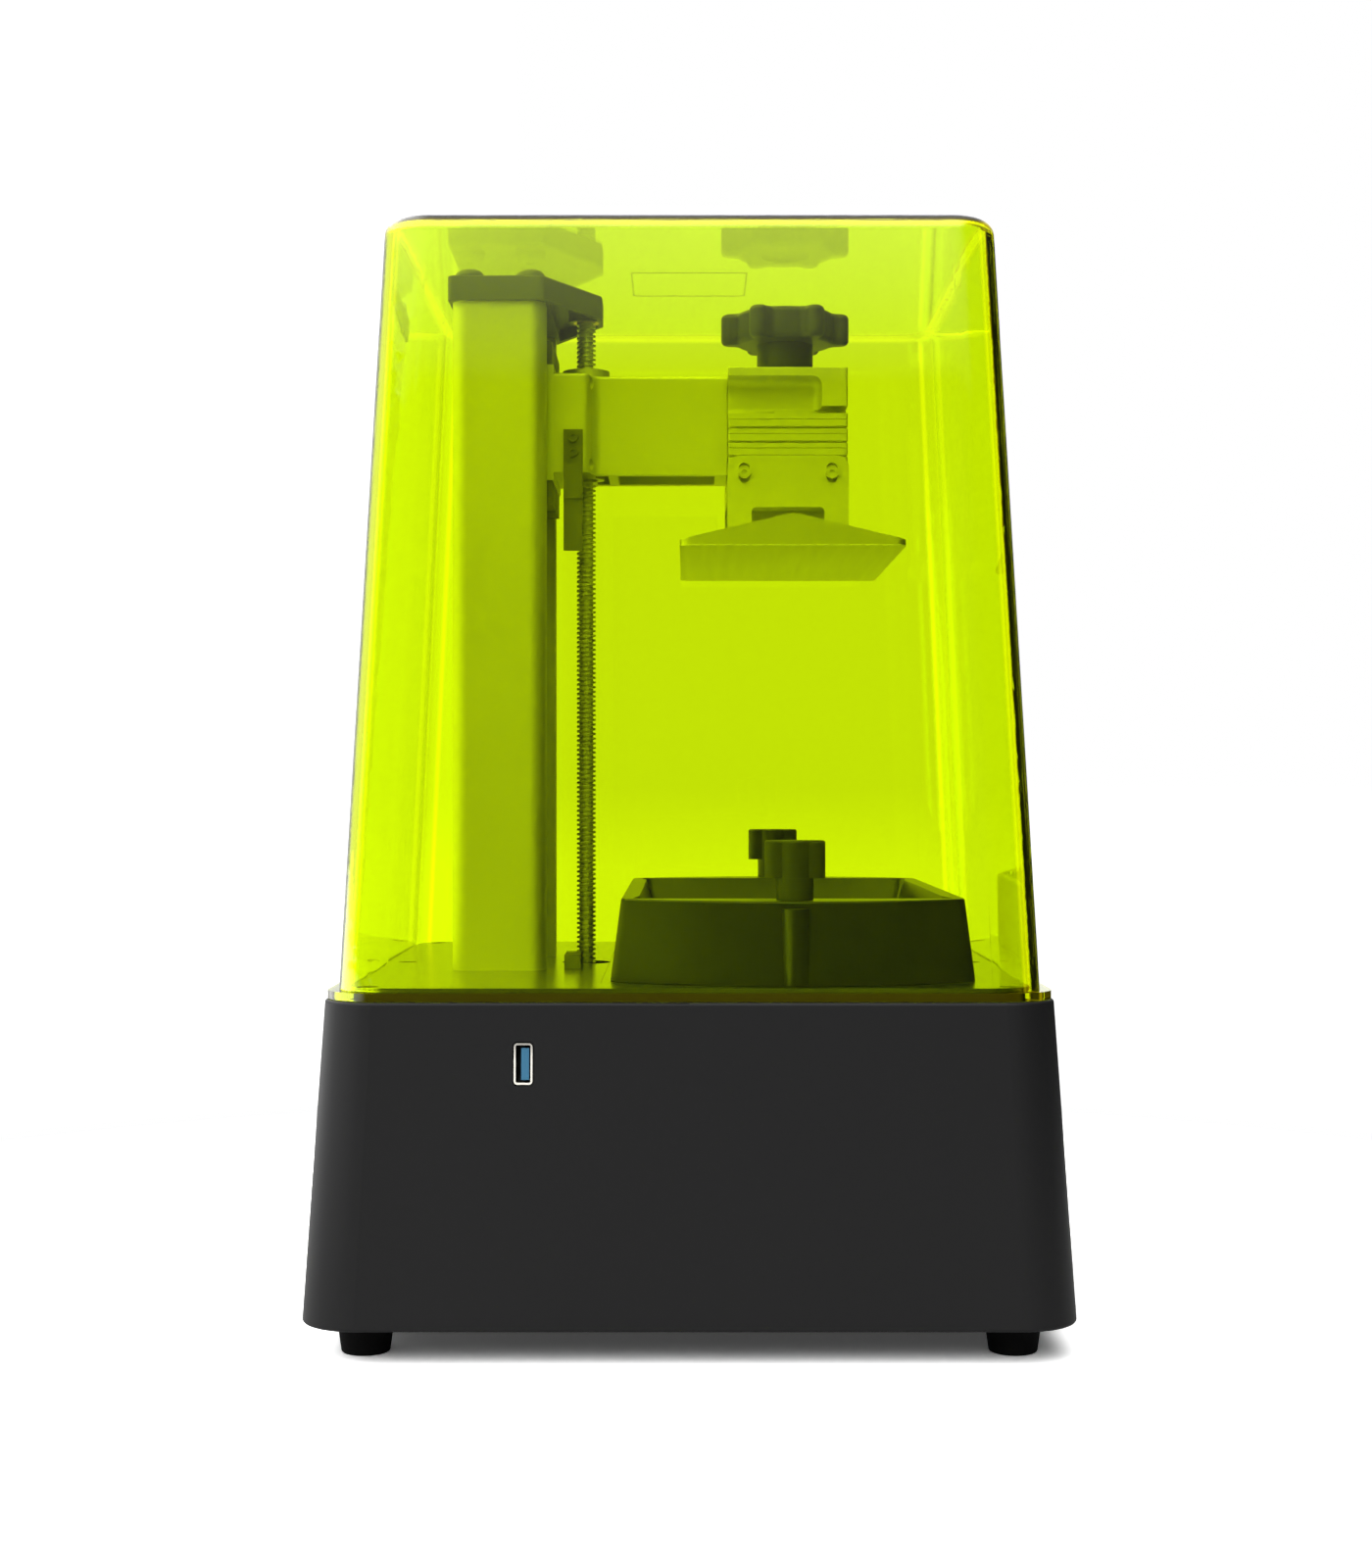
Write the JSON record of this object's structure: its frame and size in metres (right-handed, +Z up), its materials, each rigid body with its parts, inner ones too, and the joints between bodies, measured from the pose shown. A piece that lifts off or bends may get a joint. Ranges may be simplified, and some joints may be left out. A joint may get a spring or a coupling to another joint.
{
  "type": "resin printer",
  "caption": "Desktop resin 3D printer: square drafted base with screen and resin vat, column with screw-driven arm and build plate, under a clear tinted lift-off cover.",
  "frame": {"origin": "centre of the base, on the surface the rubber feet stand on", "axes": "+X towards the front, where the touch display is and the build plate hangs; +Y towards the printer's right side, away from the USB socket; +Z up"},
  "size_m": [0.2898, 0.2898, 0.43],
  "materials": {
    "charcoal_paint": "satin",
    "black_rubber": "matte",
    "deck_aluminium": "bead blasted, anodised",
    "column_aluminium": "anodised",
    "cast_aluminium": "bead blasted, anodised",
    "plate_aluminium": "brushed",
    "steel": "ground",
    "black_screw": "black oxide",
    "dark_plastic": "fine texture",
    "dark_cast": "powder coated",
    "black_knob": "satin",
    "vat_plastic": "satin",
    "film": "clear film",
    "screen_glass": "polished",
    "touch_glass": "polished",
    "cover_acrylic": "clear tinted, polished",
    "circuit_board": "solder mask",
    "led_board_white": "white solder mask",
    "led": "clear dome",
    "lens_clear": "polished",
    "reflector": "polished",
    "bronze": "sintered",
    "brass": "machined",
    "socket_metal": "nickel plated",
    "usb_blue": "moulded",
    "switch_plastic": "moulded"
  },
  "bodies": {
    "base": {"base_housing": "charcoal_paint", "bottom_plate": "charcoal_paint", "rubber_feet": "black_rubber", "deck_plate": "deck_aluminium", "deck_screws": "black_screw", "lcd_frame": "deck_aluminium", "lcd_screen": "screen_glass", "light_box": "reflector", "heat_sink": "cast_aluminium", "led_board": "led_board_white", "uv_leds": "led", "lens_array": "lens_clear", "mainboard": "circuit_board", "display_board": "circuit_board", "touch_glass": "touch_glass", "usb_shell": "socket_metal", "usb_tongue": "usb_blue", "power_jack": "dark_plastic", "power_switch_body": "switch_plastic", "exhaust_fan_frame": "dark_plastic", "m3_screws": "black_screw", "column": "column_aluminium", "column_bolts": "black_screw", "column_cap": "dark_cast", "cap_screws": "black_screw", "top_bush": "bronze", "rails": "steel", "rail_screws": "black_screw", "z_motor": "black_screw", "motor_bracket": "steel", "limit_sensor": "dark_plastic"},
    "cover": {"cover": "cover_acrylic"},
    "lead_screw": {"motor_shaft": "steel", "shaft_coupling": "cast_aluminium", "lead_screw": "steel"},
    "carriage": {"sliders": "steel", "slider_end_caps": "dark_plastic", "lift_arm": "cast_aluminium", "arm_screws": "black_screw", "lead_nut": "steel", "nut_screws": "black_screw", "limit_flag": "dark_plastic", "flag_screws": "black_screw"},
    "platform": {"platform_holder": "cast_aluminium", "bracket_screws": "steel"},
    "clamp_knob": {"clamp_knob": "black_knob", "clamp_screw": "steel"},
    "pressure_pad": {"pressure_pad": "brass"},
    "build_plate": {"level_bracket": "cast_aluminium", "build_plate": "plate_aluminium", "plate_screws": "steel"},
    "vat": {"vat_frame": "vat_plastic", "vat_film": "film", "film_clamp": "steel", "film_screws": "steel"},
    "thumb_screw_left": {"thumb_screw_left": "black_knob"},
    "thumb_screw_right": {"thumb_screw_right": "black_knob"},
    "fan_rotor": {"exhaust_fan_rotor": "dark_plastic"},
    "power_rocker": {"power_switch_rocker": "switch_plastic"}
  },
  "joints": [
    {"name": "cover_lift", "type": "slide", "parent": "base", "child": "cover", "axis": [0, 0, 1], "range_m": [0, 0.3]},
    {"name": "z_travel", "type": "slide", "parent": "base", "child": "carriage", "axis": [0, 0, 1], "range_m": [-0.166, 0.008]},
    {"name": "lead_screw_turn", "type": "hinge", "parent": "base", "child": "lead_screw", "pos_m": [-0.044, 0, 0.1173], "axis": [0, 0, 1], "range_deg": [-1460, 29900]},
    {"name": "platform_slide", "type": "slide", "parent": "carriage", "child": "platform", "axis": [1, 0, 0], "range_m": [0, 0.03]},
    {"name": "pad_lift", "type": "slide", "parent": "platform", "child": "pressure_pad", "axis": [0, 0, 1], "range_m": [0, 0.00255]},
    {"name": "clamp_knob_turn", "type": "hinge", "parent": "pressure_pad", "child": "clamp_knob", "pos_m": [0.041, 0, 0.4013], "axis": [0, 0, 1], "range_deg": [0, 720]},
    {"name": "plate_level", "type": "slide", "parent": "platform", "child": "build_plate", "axis": [0, 0, 1], "range_m": [-0.0015, 0.0015]},
    {"name": "vat_lift", "type": "slide", "parent": "base", "child": "vat", "axis": [0, 0, 1], "range_m": [0, 0.035]},
    {"name": "thumb_screw_left_turn", "type": "hinge", "parent": "vat", "child": "thumb_screw_left", "pos_m": [0.04, -0.113, 0.1696], "axis": [0, 0, 1], "range_deg": [0, 1080]},
    {"name": "thumb_screw_right_turn", "type": "hinge", "parent": "vat", "child": "thumb_screw_right", "pos_m": [0.04, 0.113, 0.1696], "axis": [0, 0, 1], "range_deg": [0, 1080]},
    {"name": "fan_spin", "type": "hinge", "parent": "base", "child": "fan_rotor", "pos_m": [-0.13054, -0.062, 0.07433], "axis": [-0.9979, 0, 0.064], "continuous": true},
    {"name": "power_switch", "type": "hinge", "parent": "base", "child": "power_rocker", "pos_m": [-0.14102, 0.075, 0.075], "axis": [0, -1, 0], "range_deg": [0, 14]}
  ],
  "couplings": [
    {"joint": "lead_screw_turn", "follows": "z_travel", "rad_per_m": -3141.6},
    {"joint": "pad_lift", "follows": "clamp_knob_turn", "m_per_rad": 0.00019894}
  ]
}
